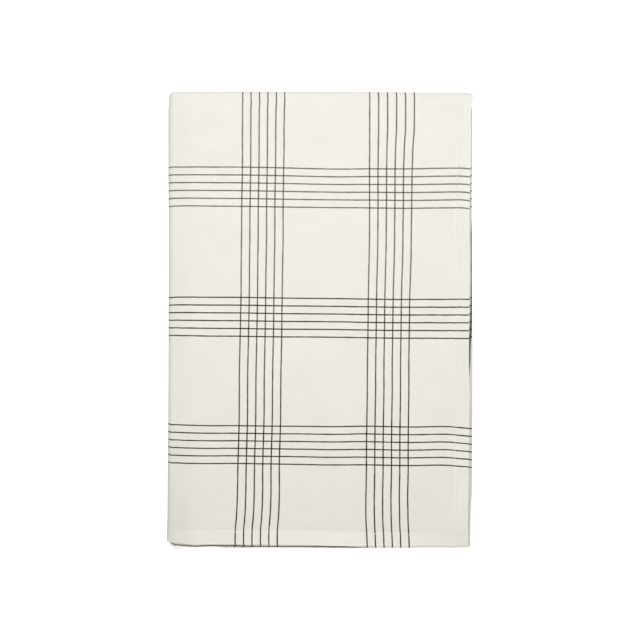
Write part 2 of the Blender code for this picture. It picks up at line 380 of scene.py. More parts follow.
# A woven line runs along each middle fold. How far the pattern is moved there to leave the line where
# it shows: the lines along the cloth at +X, over the cloth's length, and those across it at -Y, over
# its width.
FoldLine = namedtuple("FoldLine", "at shift")
ALONG_FOLD = (
    FoldLine(0.000, 0.0000),
    FoldLine(0.190, 0.0000),
    FoldLine(0.205, 0.0012),
    FoldLine(0.219, 0.0022),
    FoldLine(0.235, 0.0029),
    FoldLine(0.254, 0.0030),
    FoldLine(0.273, 0.0039),
    FoldLine(0.292, 0.0046),
    FoldLine(0.311, 0.0051),
    FoldLine(0.375, 0.0053),
    FoldLine(0.400, 0.0054),
    FoldLine(0.420, 0.0067),
    FoldLine(0.440, 0.0077),
    FoldLine(0.570, 0.0077),
)
ACROSS_FOLD = (
    FoldLine(0.000, -0.0129),
    FoldLine(0.110, -0.0129),
    FoldLine(0.123, -0.0144),
    FoldLine(0.135, -0.0154),
    FoldLine(0.150, -0.0160),
    FoldLine(0.280, -0.0162),
    FoldLine(0.300, -0.0165),
    FoldLine(0.340, -0.0168),
    FoldLine(0.350, -0.0168),
    FoldLine(0.362, -0.0172),
    FoldLine(0.368, -0.0186),
    FoldLine(0.373, -0.0205),
    FoldLine(0.378, -0.0203),
    FoldLine(0.420, -0.0159),
)
FOLD_LINE_REACH = 0.02

# How far toward the end hem the lines across the cloth are moved where they cross the middle fold at +X.
CROSSING_LINES = (
    FoldLine(0.128, 0.0029),
    FoldLine(0.291, 0.0008),
    FoldLine(0.454, -0.0007),
)

# How far toward the side hem the lines along the cloth are moved where they cross the middle fold at -Y.
SHELF_LINES = (
    FoldLine(0.102, 0.0001),
    FoldLine(0.265, -0.0018),
)

# The photograph's frame: its width at the top of the folded cloth, and the camera's height and place.
FRAME_WIDTH = 0.8046
CAMERA_HEIGHT = 1.32
CAMERA_PLACE = (0.0002, 0.0004)
SENSOR = 0.036

# A place on the flat cloth, and the share of a baked picture's side that is used up to there. The top, the
# folds and the underside get most of it, and the hidden layers little.
BakeStop = namedtuple("BakeStop", "at share")
BAKE_ACROSS = (
    BakeStop(0.000, 0.00),
    BakeStop(0.390, 0.60),
    BakeStop(0.790, 0.96),
    BakeStop(CLOTH_WIDTH, 1.00),
)
BAKE_ALONG = (
    BakeStop(0.000, 0.000),
    BakeStop(0.600, 0.840),
    BakeStop(1.130, 0.855),
    BakeStop(1.165, 0.885),
    BakeStop(CLOTH_LENGTH, 0.920),
)
BAKE_BACK = (0.930, 0.965)  # the strip of the picture with the cloth's back
BAKE_RIM = (0.975, 0.995)  # and the one with its edge

# Waves per metre of the noises in the materials, and the share of them that is left along a yarn.
SLUB_WAVES = 900.0
SLUB_ALONG = 0.035
WANDER_WAVES = 300.0
WANDER_ALONG = 0.25
CLOUD_WAVES = 22.0
SEWING_WAVES = 700.0
TWIST_WAVES = 6000.0
FLOOR_WAVES = 3.0

# What goes smoothly from one value to another between two places or two levels of a noise.
Slope = namedtuple("Slope", "start end low high")
CLOUDS = Slope(0.3, 0.7, 0.0, 1.0)  # how pale a patch of the cloth is
SLUBS = Slope(0.35, 0.7, 0.0, 0.4)  # how much a thick yarn shows
PITS = Slope(0.0, 0.5, 0.12, 0.0)  # how much the shade between the yarns shows
ROUGHNESS = Slope(0.0, 1.0, 0.72, 0.58)  # of the cloth, from its pits to its yarns' tops
WARP_WANDER = Slope(0.3, 0.7, 0.88, 1.10)  # the width of a line along the cloth
WEFT_WANDER = Slope(0.3, 0.7, 0.85, 1.08)  # and of one across it
WARP_PAINTED_GLARE = Slope(0.08, 0.40, 1.0, 0.85)  # how deep a line is, most near the end hem; paler toward +Y as painted glare from the key lamp beyond the end folds
# The lines across the cloth carry the same painted glare.
WEFT_PAINTED_GLARE = Slope(0.30, 0.38, 0.985, 0.83)
FOLD_LINE_AND_SHADE = Slope(0.010, 0.020, 1.25, 1.0)  # how much wider the line along the middle fold at -Y is painted, partly as painted shade of the crevice under the hem

CROSSING_DIP = 0.4  # how much lower a yarn is where it goes under another
WARP_UNDER = 0.04  # how much paler the dark lines are where their yarns go under
WEFT_UNDER = 0.05
SLUB_RELIEF = 0.6  # how much a thick yarn stands out, in yarns

# Colours, as shares of red, green, blue and cover.
CREAMS = ((0.800, 0.782, 0.722, 1), (0.830, 0.812, 0.756, 1))  # from patch to patch of the cloth
PALE_YARN = (0.845, 0.83, 0.785, 1)
DULL_YARN = (0.785, 0.765, 0.70, 1)
BETWEEN_YARNS = (0.62, 0.60, 0.54, 1)
CHARCOALS = ((0.012, 0.009, 0.005, 1), (0.016, 0.012, 0.007, 1))
SEWING_COTTONS = ((0.80, 0.785, 0.74, 1), (0.87, 0.86, 0.82, 1))
FLOOR_GREYS = ((0.44, 0.44, 0.44, 1), (0.46, 0.46, 0.46, 1))

# The floor, the white glow just over it, and the room behind them.
FLOOR_HALF = 3.0  # half of the floor's side
FLOOR_HEIGHT = -0.0004
GLOW_HEIGHT = -0.0002
GLOW = 0.8
ROOM_SEEN = 1.0  # how white the room looks past the floor's end
ROOM_LIGHT = 0.002  # and how much it lights the cloth

# A wide soft light beyond the end folds, one above, and low ones at the left and in front. Sizes are in
# metres and powers in watts.
Lamp = namedtuple("Lamp", "name place target size power colour")
LAMPS = (
    Lamp("key", (0.25, 0.80, 1.75), (0, 0.1, 0), (1.3, 0.9), 27.5, (0.859, 0.871, 1.0)),
    Lamp("overhead", (0.05, 0.05, 1.6), (0.05, 0.05, 0), (1.0, 1.0), 13.1, (1.0, 0.956, 0.751)),
    Lamp("side", (-1.6, 0.1, 0.30), (0, 0, 0), (0.5, 1.2), 11.6, (0.833, 0.876, 1.0)),
    Lamp("front", (0.1, -1.8, 0.14), (0, -0.28, 0.01), (1.2, 0.24), 13.1, (0.991, 0.954, 1.0)),
)

Turn = namedtuple("Turn", "along height radius begins ends")


class TwiceFolded:
    """The middle line of a band folded in half twice, in a plane of its own.

    It starts at the first end on top and runs to the folds' axis, round the outer turn to the bottom,
    back out to the middle turn, in again, round the inner turn, and out to the last end. `along` is the
    distance from the folds' axis, and `height` is measured from the underside.
    """

    def __init__(self, length, thickness, short, hem, turns):
        self.length = length
        self.thickness = thickness
        self.hem = hem
        pitch = thickness + GAP
        outer, inner = 1.5 * pitch, 0.5 * pitch
        round_end = inner + thickness / 2
        around = pi * (outer + 2 * inner)
        self.reach = (length - around + 2 * (round_end + short["middle"]) + short["last"]) / 4
        middle_reach = self.reach - round_end - short["middle"]
        self.middle = self.reach + pi * outer + middle_reach + pi * inner / 2
        last_reach = self.reach - short["last"]
        low = thickness / 2
        self.pieces = (
            self.run(self.reach, self.reach, 0.0, low + 3 * pitch, 0.0),
            self.turn(Turn(0.0, low + outer, outer, 0.0, pi), turns["outer"]),
            self.run(middle_reach, 0.0, middle_reach, low, pi),
            self.turn(Turn(middle_reach, low + inner, inner, pi, 2 * pi), turns["middle"]),
            self.run(middle_reach, middle_reach, 0.0, low + pitch, 2 * pi),
            self.turn(Turn(0.0, low + outer, -inner, 2 * pi, pi), turns["inner"]),
            self.run(last_reach, 0.0, last_reach, low + 2 * pitch, pi),
        )

    @staticmethod
    def run(length, start, end, height, facing):
        """A straight piece: its length, its places at a share of it, and its steps."""

        def at(share):
            return start + (end - start) * share, height + 0 * share, facing + 0 * share

        return length, at, round(length / HIDDEN_SPACING)

    @staticmethod
    def turn(turn, steps):
        """A half turn, whose radius is negative where the face of the band is on its inside."""

        def at(share):
            facing = turn.begins + (turn.ends - turn.begins) * share
            return (
                turn.along - turn.radius * np.sin(facing),
                turn.height + turn.radius * np.cos(facing),
                facing,
            )

        return pi * abs(turn.radius), at, steps

    def rows(self):
        """Where the band has a row of points: close together on the top run, at its hems and in turns."""
        hem_rows = np.array(EDGE_ROWS + tuple(self.hem + row for row in SEAM_ROWS))
        clear = hem_rows[-1] + TOP_SPACING / 2
        top_steps = round((self.reach - clear) / TOP_SPACING)
        found = [hem_rows, np.linspace(clear, self.reach, top_steps + 1)]
        start = self.reach
        for length, _, steps in self.pieces[1:-1]:
            found.append(start + length * np.arange(1, steps + 1) / steps)
            start += length
        length, _, steps = self.pieces[-1]
        found.append(np.linspace(start, self.length - clear, steps + 1)[1:])
        found.append(self.length - hem_rows[::-1])
        return np.concatenate(found)

    def place(self, at, offset):
        """Along and height of points at these lengths, this far from the middle line on its face side."""
        along, height, facing = (np.zeros_like(at) for _ in range(3))
        start = 0.0
        for length, shape, _ in self.pieces:
            inside = at >= start
            share = np.clip((at - start) / length, 0.0, 1.0)
            for values, new in zip((along, height, facing), shape(share)):
                values[inside] = new[inside]
            start += length
        return along - offset * np.sin(facing), height + offset * np.cos(facing)

    def end_of(self, at):
        """Which end these lengths run out to: 0 the first, 1 the middle turn, 2 the last."""
        lengths = [piece[0] for piece in self.pieces]
        first = sum(lengths[:1]) + lengths[1] / 2
        last = sum(lengths[:5]) + lengths[5] / 2
        return (at > first).astype(int) + (at > last).astype(int)

    def near_end(self, at):
        """Distance to the nearer end of the band."""
        return np.minimum(at, self.length - at)


def ease(share):
    """From 0 to 1 with level ends."""
    share = np.clip(share, 0.0, 1.0)
    return share * share * (3 - 2 * share)


def curve_through(at, places, values):
    """A smooth curve through a table's values, read at these places."""
    places, values = np.array(places), np.array(values)
    slopes = np.gradient(values, places)
    i = np.clip(np.searchsorted(places, at) - 1, 0, len(places) - 2)
    step = places[i + 1] - places[i]
    f = np.clip((at - places[i]) / step, 0.0, 1.0)
    return (
        values[i] * (1 - f) ** 2 * (1 + 2 * f)
        + values[i + 1] * f * f * (3 - 2 * f)
        + slopes[i] * step * f * (1 - f) ** 2
        - slopes[i + 1] * step * f * f * (1 - f)
    )


def table_curve(table, at, column):
    """One column of a table as a smooth curve over its first column."""
    return curve_through(at, [row[0] for row in table], [getattr(row, column) for row in table])


SECTION = TwiceFolded(CLOTH_LENGTH, LAYER, ALONG_SHORT, END_HEM, ALONG_TURNS)
STACK = TwiceFolded(CLOTH_WIDTH, 4 * LAYER + 3 * GAP, ACROSS_SHORT, SIDE_HEM, ACROSS_TURNS)


def side_hem(length_at):
    """Width of the side hems at this place along the cloth."""
    return SIDE_HEM + table_curve(HEM_WIDTHS, length_at / CLOTH_LENGTH, "side")


def end_hem(width_at):
    """Width of the end hems at this place across the cloth."""
    return END_HEM + table_curve(HEM_WIDTHS, width_at / CLOTH_WIDTH, "end")


def in_hem(width_at, length_at):
    """1 in a hem and 0 on the single cloth, with a short slope between."""
    side = STACK.near_end(width_at) - side_hem(length_at)
    end = SECTION.near_end(length_at) - end_hem(width_at)
    return np.maximum(1 - ease(side / HEM_STEP), 1 - ease(end / HEM_STEP))


def surfaces(width_at, length_at):
    """How far the face and the back of the cloth lie from the middle line of its layer."""
    hem = in_hem(width_at, length_at)
    past_top = 1 - ease((width_at - STACK.reach) / STACK.thickness)
    outermost = 1 - ease((length_at - SECTION.reach) / SECTION.thickness)
    thickness = CLOTH + (HEM_THICKNESS - CLOTH) * hem
    centred = CLOTH / 2 + (LAYER - CLOTH) / 2 * hem
    face = outermost * LAYER / 2 + (1 - outermost) * centred
    face += HEM_RAISE * hem * past_top * outermost
    edge = np.minimum(STACK.near_end(width_at), SECTION.near_end(length_at))
    inward = np.clip(1 - edge / (HEM_THICKNESS / 2), 0.0, EDGE_ROUND)
    thinned = thickness / 2 * (1 - np.sqrt(1 - inward * inward))
    return face - thinned, face - thickness + thinned


def painted_light_and_shade(width_at, length_at):
    """How much lighter or darker the cloth is painted here, against a middling 1: painted light and shade.
    """
    length_share, width_share = length_at / CLOTH_LENGTH, width_at / CLOTH_WIDTH
    side = 1 - ease((STACK.near_end(width_at) - side_hem(length_at)) / HEM_STEP)
    end = 1 - ease((SECTION.near_end(length_at) - end_hem(width_at)) / HEM_STEP)
    # Painted light on the hems.
    hem = np.maximum(
        side * table_curve(PAINTED_HEM_LIGHTS, length_share, "side"),
        end * table_curve(PAINTED_HEM_LIGHTS, width_share, "end"),
    )
    # Painted shade by the last fold at -X and by the outer end fold at +Y.
    from_fold = 1 - ease(abs(width_at - STACK.reach) / PAINTED_FOLD_SHADE_REACH)
    from_far = 1 - ease(abs(length_at - SECTION.reach) / PAINTED_FAR_SHADE_REACH)
    far = PAINTED_FAR_SHADE * (1 - 0.5 * ease(width_share / PAINTED_FAR_SHADE_CORNER))
    # Painted light on the middle fold at -Y where it shows under the hem, and painted highlights on the
    # turned edges.
    rim = PAINTED_RIM_LIGHT * (1 - ease((abs(length_at - SECTION.middle) - PAINTED_RIM_LIGHT_REACH) / PAINTED_RIM_LIGHT_REACH))
    edge = np.minimum(STACK.near_end(width_at), SECTION.near_end(length_at))
    rim = rim + PAINTED_EDGE_HIGHLIGHT * (1 - ease(edge / PAINTED_EDGE_HIGHLIGHT_REACH))
    # Painted shade in the crevice where the hem lies over the middle fold at +X.
    past_fold = width_at - STACK.middle
    crevice_shade = ease((past_fold - PAINTED_CREVICE_SHADE_REACH) / PAINTED_CREVICE_SHADE_REACH)
    crevice_shade = crevice_shade * (1 - ease(past_fold / PAINTED_CREVICE_SHADE_END - 1))
    grey = from_fold * table_curve(PAINTED_FOLD_SHADES, length_share, "grey") + from_far * far
    return 1 + hem + rim - grey - crevice_shade * PAINTED_CREVICE_SHADE


def folded(width_at, length_at, offset):
    """Places of points of the flat cloth, this far off their layer's middle line, once it is folded."""
    along, layer_height = SECTION.place(length_at, offset)
    across, height = STACK.place(width_at, layer_height - STACK.thickness / 2)

    width_share = width_at / CLOTH_WIDTH
    edges = [table_curve(END_EDGES, width_share, end) for end in ("first", "middle", "last")]
    along = along + ease(along / SECTION.reach) * np.choose(SECTION.end_of(length_at), edges)
    y = SECTION.reach / 2 - along

    length_share = length_at / CLOTH_LENGTH
    fold_middle = STACK.thickness + GAP / 2
    lip = FOLD_LIP * ease(height / fold_middle - 1)
    edges = (
        table_curve(SIDE_HEMS, length_share, "first"),
        table_curve(FOLD_EDGES, y, "middle") + lip,
        table_curve(SIDE_HEMS, length_share, "last"),
    )
    outward = ease(across / STACK.reach)
    x = across - STACK.reach / 2 + outward * np.choose(STACK.end_of(width_at), edges)
    x -= (1 - outward) * table_curve(FOLD_EDGES, y, "last")
    y = y + table_curve(FAR_EDGES, width_share, "reach") * (1 - ease(along / SECTION.reach))

    swell = sum(
        s.share * np.sin(2 * pi * (s.across * x + s.along * y) + s.start) for s in SWELLS
    )
    return np.stack((x, y, height * (1 + swell)), axis=-1)


def cloth_grid():
    """Flat places of the cloth's rows of points, with the rows at the seams following the seams."""
    widths, lengths = STACK.rows(), SECTION.rows()
    width_at, length_at = np.meshgrid(widths, lengths, indexing="ij")

    def moved(band, at, hem_width):
        margin = -SEAM_ROWS[0]
        reach = (0.0, band.hem - margin, band.hem + margin, SEAM_FADE)
        share = np.interp(band.near_end(at), reach, (0.0, 1.0, 1.0, 0.0))
        return at + np.where(at < band.length / 2, 1, -1) * share * (hem_width - band.hem)

    return (
        moved(STACK, width_at, side_hem(length_at)),
        moved(SECTION, length_at, end_hem(width_at)),
    )


def line_shift(at, lines, groups):
    """How far the pattern is moved at this place, between groups of lines that have moved and spread."""
    knots, values = [], []
    for i, (shift, gap) in enumerate(groups):
        middle = lines.first_group + i * lines.pitch
        for side in (-1, 1):
            knots.append(middle + side * lines.spacing * (LINES - 1) / 2)
            values.append(shift - side * gap * (LINES - 1) / 2)
    found = values[0]
    for k in range(len(knots) - 1):
        share = np.clip((at - knots[k]) / (knots[k + 1] - knots[k]), 0.0, 1.0)
        found = found + share * (values[k + 1] - values[k])
    return found


def pattern_place(width_at, length_at):
    """Where in the woven pattern these places of the cloth are."""
    across_top, along_top = (
        1 - ease((at - band.reach) / SHIFT_FADE)
        for at, band in ((width_at, STACK), (length_at, SECTION))
    )
    at_width_fold, at_length_fold = (
        1 - ease((abs(at - band.length / 2) - FOLD_LINE_REACH) / SHIFT_FADE)
        for at, band in ((width_at, STACK), (length_at, SECTION))
    )
    # The lines along the cloth have kept their places from the top to the middle fold under it.
    end_at = np.minimum(length_at, abs(length_at - CLOTH_LENGTH / 2))
    warp = [
        [table_curve(WARP_SHIFTS, end_at, name + part) for part in ("", "_gap")]
        for name in ("near", "far")
    ]
    weft = [
        [table_curve(WEFT_SHIFTS, width_at, name + part) for part in ("", "_gap")]
        for name in ("first", "second", "third")
    ]
    warp_shift = across_top * np.maximum(along_top, at_length_fold)
    warp_shift *= line_shift(width_at, ACROSS_LINES, warp)
    warp_shift += at_width_fold * table_curve(ALONG_FOLD, length_at, "shift")
    warp_shift += across_top * at_length_fold * table_curve(SHELF_LINES, width_at, "shift")
    weft_shift = across_top * along_top * line_shift(length_at, ALONG_LINES, weft)
    weft_shift += at_length_fold * table_curve(ACROSS_FOLD, width_at, "shift")
    crossing = at_width_fold * (1 - at_length_fold)
    weft_shift += crossing * table_curve(CROSSING_LINES, length_at, "shift")
    return np.stack((width_at + warp_shift, length_at + weft_shift), axis=-1)


def bake_place(width_at, length_at, rim_corners):
    """Places in a baked picture for the corners of the face's, the back's and the rim's quads."""
    u = np.interp(width_at, *zip(*BAKE_ACROSS)).ravel()
    v = np.interp(length_at, *zip(*BAKE_ALONG)).ravel()
    face = np.stack((u, v), axis=-1)
    strip = BAKE_BACK[0] + (BAKE_BACK[1] - BAKE_BACK[0]) * v / BAKE_ALONG[-1].share
    back = np.stack((u, strip), axis=-1)
    places = np.arange(rim_corners)[:, None]
    u = (places + np.array((0, 0, 1, 1))) / rim_corners
    v = np.broadcast_to((BAKE_RIM[1], BAKE_RIM[0], BAKE_RIM[0], BAKE_RIM[1]), u.shape)
    return np.concatenate((face, back)), np.stack((u, v), axis=-1).reshape(-1, 2)


def new_piece(name, points, faces):
    """A smooth mesh in the scene."""
    mesh = bpy.data.meshes.new(name)
    mesh.from_pydata(points, [], faces)
    mesh.update()
    mesh.shade_smooth()
    piece = bpy.data.objects.new(name, mesh)
    bpy.context.scene.collection.objects.link(piece)
    return piece


def build_cloth():
    """The cloth: a face and a back, joined round the edge. Also how far it was moved to be centred."""
    width_at, length_at = cloth_grid()
    face, back = (folded(width_at, length_at, offset) for offset in surfaces(width_at, length_at))
    points = np.concatenate((face.reshape(-1, 3), back.reshape(-1, 3)))
    low, high = points.min(axis=0), points.max(axis=0)
    middle = (CAD_BOX[0] + CAD_BOX[1]) / 2
    move = np.array((middle.x - (low[0] + high[0]) / 2, middle.y - (low[1] + high[1]) / 2, 0.0))
    points += move

    across, along = width_at.shape
    index = np.arange(across * along).reshape(across, along)
    corners = np.stack((index[:-1, :-1], index[:-1, 1:], index[1:, 1:], index[1:, :-1]), axis=-1)
    quads = corners.reshape(-1, 4)
    rim = np.concatenate((index[:-1, 0], index[-1, :-1], index[:0:-1, -1], index[0, :0:-1]))
    after = np.roll(rim, -1)
    sides = np.stack((rim + index.size, rim, after, after + index.size), axis=-1)
    faces = np.concatenate((quads, quads[:, ::-1] + index.size, sides))

    cloth = new_piece("tablecloth_cotton", points, faces)
    mesh = cloth.data
    flat = pattern_place(width_at, length_at).reshape(-1, 2)
    flat = np.concatenate((flat, flat))
    loops = np.zeros(len(mesh.loops), dtype=np.int32)
    mesh.loops.foreach_get("vertex_index", loops)
    mesh.uv_layers.new(name="Cloth").data.foreach_set("uv", flat[loops].ravel())
    sheets, edge = bake_place(width_at, length_at, len(rim))
    baked = np.concatenate((sheets[loops[:-sides.size]], edge))
    mesh.uv_layers.new(name="OFBake").data.foreach_set("uv", baked.ravel())
    # The painted light and shade, the same on the face and the back.
    painted_light_values = np.tile(painted_light_and_shade(width_at, length_at).ravel(), 2)
    mesh.attributes.new("PaintedLightAndShade", "FLOAT", "POINT").data.foreach_set("value", painted_light_values)
    return cloth, move


def stitch_rows():
    """Flat places of the hems' stitches on one side of the cloth: points of each stitch across and along
    the cloth, and the way up of its faces."""
    shape = np.array(STITCH_SHAPE)
    for band, other, hem in ((STACK, SECTION, side_hem), (SECTION, STACK, end_hem)):
        middles = np.arange(STITCH_PITCH, other.length - STITCH_PITCH, STITCH_PITCH)
        run = middles[:, None] + shape[:, 0] * STITCH_LENGTH
        inward = hem(run) - STITCH_INSET + shape[:, 1] * STITCH_WIDTH / 2
        for across in (inward, band.length - inward):
            yield (across, run, 1) if band is STACK else (run, across, -1)


def build_stitches(move):
    """The hems' stitches, small grains of thread along each sewn line, on both sides of the cloth."""
    shape = np.array(STITCH_SHAPE)
    tip = len(shape) - 1
    ring_size = len(STITCH_RING)
    rings = [range(first, first + ring_size) for first in range(1, tip, ring_size)]
    template = []
    for i in range(ring_size):
        j = (i + 1) % ring_size
        template.append((0, rings[0][j], rings[0][i]))
        for near, far in zip(rings, rings[1:]):
            template.append((near[i], near[j], far[j], far[i]))
        template.append((rings[-1][i], rings[-1][j], tip))

    points, faces = [], []
    count = 0
    for width_at, length_at, turned in stitch_rows():
        sides = surfaces(width_at, length_at)
        for side, out in zip(sides, (1, -1)):
            at = folded(width_at, length_at, side + out * shape[:, 2] * STITCH_HEIGHT) + move
            points.extend(at.reshape(-1, 3).tolist())
            for start in range(count, count + at.shape[0] * len(shape), len(shape)):
                for corners in template:
                    face = [start + corner for corner in corners]
                    faces.append(face if out * turned > 0 else face[::-1])
            count += at.shape[0] * len(shape)

    return new_piece("hem_stitches", points, faces)


class Nodes:
    """Short names for the nodes of one material."""

    def __init__(self, name):
        self.material = bpy.data.materials.new(name)
        self.material.use_nodes = True
        self.tree = self.material.node_tree
        self.shader = self.tree.nodes["Principled BSDF"]

    def new(self, kind, **settings):
        node = self.tree.nodes.new(kind)
        for key, value in settings.items():
            setattr(node, key, value)
        return node

    def put(self, value, socket):
        if isinstance(value, bpy.types.NodeSocket):
            self.tree.links.new(value, socket)
        else:
            socket.default_value = value

    def math(self, operation, *values):
        node = self.new("ShaderNodeMath", operation=operation)
        for value, socket in zip(values, node.inputs):
            self.put(value, socket)
        return node.outputs[0]

    def smooth(self, value, low, high, to_low, to_high):
        node = self.new("ShaderNodeMapRange", interpolation_type="SMOOTHSTEP")
        for name, item in zip(
            ("Value", "From Min", "From Max", "To Min", "To Max"),
            (value, low, high, to_low, to_high),
        ):
            self.put(item, node.inputs[name])
        return node.outputs["Result"]

    def mix(self, share, one, other):
        node = self.new("ShaderNodeMix", data_type="RGBA")
        self.put(share, node.inputs["Factor"])
        self.put(one, node.inputs[6])
        self.put(other, node.inputs[7])
        return node.outputs[2]

    def scaled(self, colour, share):
        node = self.new("ShaderNodeVectorMath", operation="SCALE")
        self.put(colour, node.inputs[0])
        self.put(share, node.inputs["Scale"])
        return node.outputs[0]

    def noise(self, at, scale, detail=2.0):
        node = self.new("ShaderNodeTexNoise", noise_dimensions="3D")
        self.put(at, node.inputs["Vector"])
        node.inputs["Scale"].default_value = scale
        node.inputs["Detail"].default_value = detail
        return node.outputs["Fac"]

    def stretched(self, u, v, u_scale, v_scale):
        node = self.new("ShaderNodeCombineXYZ")
        self.put(self.math("MULTIPLY", u, u_scale), node.inputs["X"])
        self.put(self.math("MULTIPLY", v, v_scale), node.inputs["Y"])
        return node.outputs["Vector"]

    def bump(self, height, strength, distance):
        node = self.new("ShaderNodeBump")
        node.inputs["Strength"].default_value = strength
        node.inputs["Distance"].default_value = distance
        self.put(height, node.inputs["Height"])
        self.put(node.outputs["Normal"], self.shader.inputs["Normal"])


def line_mask(n, at, lines, wander):
    """1 on the dark lines that this coordinate crosses, and 0 between them."""
    group = n.math("DIVIDE", n.math("SUBTRACT", at, lines.first_group), lines.pitch)
    from_middle = n.math("MULTIPLY", n.math("SUBTRACT", group, n.math("ROUND", group)), lines.pitch)
    line = n.math("ADD", n.math("DIVIDE", from_middle, lines.spacing), 0.5)
    off = n.math("MULTIPLY", n.math("SUBTRACT", line, n.math("ROUND", line)), lines.spacing)
    distance = n.math("ABSOLUTE", off)
    half = n.math("MULTIPLY", wander, LINE_WIDTH / 2)
    soft = LINE_WIDTH * LINE_SOFTNESS
    on_line = n.smooth(distance, n.math("SUBTRACT", half, soft), n.math("ADD", half, soft), 1.0, 0.0)
    inside = n.math("LESS_THAN", n.math("ABSOLUTE", from_middle), lines.spacing * LINES / 2)
    return n.math("MULTIPLY", on_line, inside)


def mark_mask(n, u, v):
    """How dark the strokes of MARKS make the cloth here."""
    total = 0.0
    for mark in MARKS:
        right = n.math("SUBTRACT", u, mark.across)
        up = n.math("SUBTRACT", v, mark.along)
        cosine, sine = cos(mark.turn), sin(mark.turn)
        along = n.math("ADD", n.math("MULTIPLY", right, cosine), n.math("MULTIPLY", up, sine))
        aside = n.math("SUBTRACT", n.math("MULTIPLY", up, cosine), n.math("MULTIPLY", right, sine))
        along = n.math("POWER", n.math("ABSOLUTE", n.math("DIVIDE", along, mark.length / 2)), 2.0)
        aside = n.math("POWER", n.math("ABSOLUTE", n.math("DIVIDE", aside, mark.width / 2)), 2.0)
        dark = n.smooth(n.math("ADD", along, aside), 0.0, 2.0, mark.dark, 0.0)
        total = n.math("MAXIMUM", total, dark)
    return total


def cotton_material():
    """Plain woven off-white cotton with thin charcoal lines woven in, both ways."""
    n = Nodes("woven_check_cotton")
    uv = n.new("ShaderNodeUVMap", uv_map="Cloth").outputs["UV"]
    parts = n.new("ShaderNodeSeparateXYZ")
    n.put(uv, parts.inputs[0])
    u, v = parts.outputs["X"], parts.outputs["Y"]

    # Threads: the warp runs along v and the weft along u, over and under each other by turns.
    warp = n.math("ABSOLUTE", n.math("SINE", n.math("MULTIPLY", u, pi / THREAD)))
    weft = n.math("ABSOLUTE", n.math("SINE", n.math("MULTIPLY", v, pi / THREAD)))
    cell = n.math(
        "ADD",
        n.math("FLOOR", n.math("DIVIDE", u, THREAD)),
        n.math("FLOOR", n.math("DIVIDE", v, THREAD)),
    )
    warp_over = n.math("GREATER_THAN", n.math("FRACT", n.math("MULTIPLY", cell, 0.5)), 0.25)
    over = n.math("MULTIPLY", warp, n.math("MULTIPLY_ADD", weft, CROSSING_DIP, 1 - CROSSING_DIP))
    under = n.math("MULTIPLY", weft, n.math("MULTIPLY_ADD", warp, CROSSING_DIP, 1 - CROSSING_DIP))
    relief = n.new("ShaderNodeMix", data_type="FLOAT")
    n.put(warp_over, relief.inputs["Factor"])
    n.put(under, relief.inputs[2])
    n.put(over, relief.inputs[3])
    relief = relief.outputs[0]

    # Yarns vary in thickness along their length, so cloth and lines are a little uneven.
    warp_slub = n.noise(n.stretched(u, v, 1.0, SLUB_ALONG), SLUB_WAVES)
    weft_slub = n.noise(n.stretched(u, v, SLUB_ALONG, 1.0), SLUB_WAVES)
    cloudy = n.noise(n.stretched(u, v, 1.0, 1.0), CLOUD_WAVES, 3.0)

    # The dark lines, which wander in width. The one along the middle fold at -Y is painted wider, partly
    # as painted shade of the crevice under the hem there.
    warp_wander = n.smooth(n.noise(n.stretched(u, v, 1.0, WANDER_ALONG), WANDER_WAVES), *WARP_WANDER)
    weft_wander = n.smooth(n.noise(n.stretched(u, v, WANDER_ALONG, 1.0), WANDER_WAVES), *WEFT_WANDER)
    from_fold = n.math("ABSOLUTE", n.math("SUBTRACT", v, CLOTH_LENGTH / 2 + ACROSS_FOLD[-1].shift))
    weft_wander = n.math("MULTIPLY", weft_wander, n.smooth(from_fold, *FOLD_LINE_AND_SHADE))
    warp_dark = line_mask(n, u, ACROSS_LINES, warp_wander)
    weft_dark = line_mask(n, v, ALONG_LINES, weft_wander)
    warp_seen = n.math("MULTIPLY_ADD", warp_over, WARP_UNDER, 1 - WARP_UNDER)
    weft_seen = n.math("MULTIPLY_ADD", warp_over, -WEFT_UNDER, 1.0)
    warp_dark = n.math("MULTIPLY", n.math("MULTIPLY", warp_dark, warp_seen), n.smooth(v, *WARP_PAINTED_GLARE))
    weft_dark = n.math("MULTIPLY", n.math("MULTIPLY", weft_dark, weft_seen), n.smooth(v, *WEFT_PAINTED_GLARE))
    clear = n.math(
        "MULTIPLY", n.math("SUBTRACT", 1.0, warp_dark), n.math("SUBTRACT", 1.0, weft_dark)
    )

    cream = n.mix(n.smooth(cloudy, *CLOUDS), *CREAMS)
    cream = n.mix(n.smooth(warp_slub, *SLUBS), cream, PALE_YARN)
    cream = n.mix(n.smooth(weft_slub, *SLUBS), cream, DULL_YARN)
    cream = n.mix(n.smooth(relief, *PITS), cream, BETWEEN_YARNS)
    # The cream is scaled by the painted light and shade, and darkened by the strokes of MARKS.
    light = n.new("ShaderNodeAttribute", attribute_name="PaintedLightAndShade").outputs["Fac"]
    light = n.math("SUBTRACT", light, mark_mask(n, u, v))
    cream = n.scaled(cream, light)
    n.put(n.mix(clear, n.mix(cloudy, *CHARCOALS), cream), n.shader.inputs["Base Color"])

    n.put(n.smooth(relief, *ROUGHNESS), n.shader.inputs["Roughness"])
    n.shader.inputs["Specular IOR Level"].default_value = 0.2
    n.shader.inputs["Sheen Weight"].default_value = 0.05
    n.shader.inputs["Sheen Roughness"].default_value = 0.6

    slubs = n.math("MULTIPLY", n.math("ADD", warp_slub, weft_slub), SLUB_RELIEF)
    n.bump(n.math("ADD", relief, slubs), strength=0.5, distance=0.00012)
    return n.material


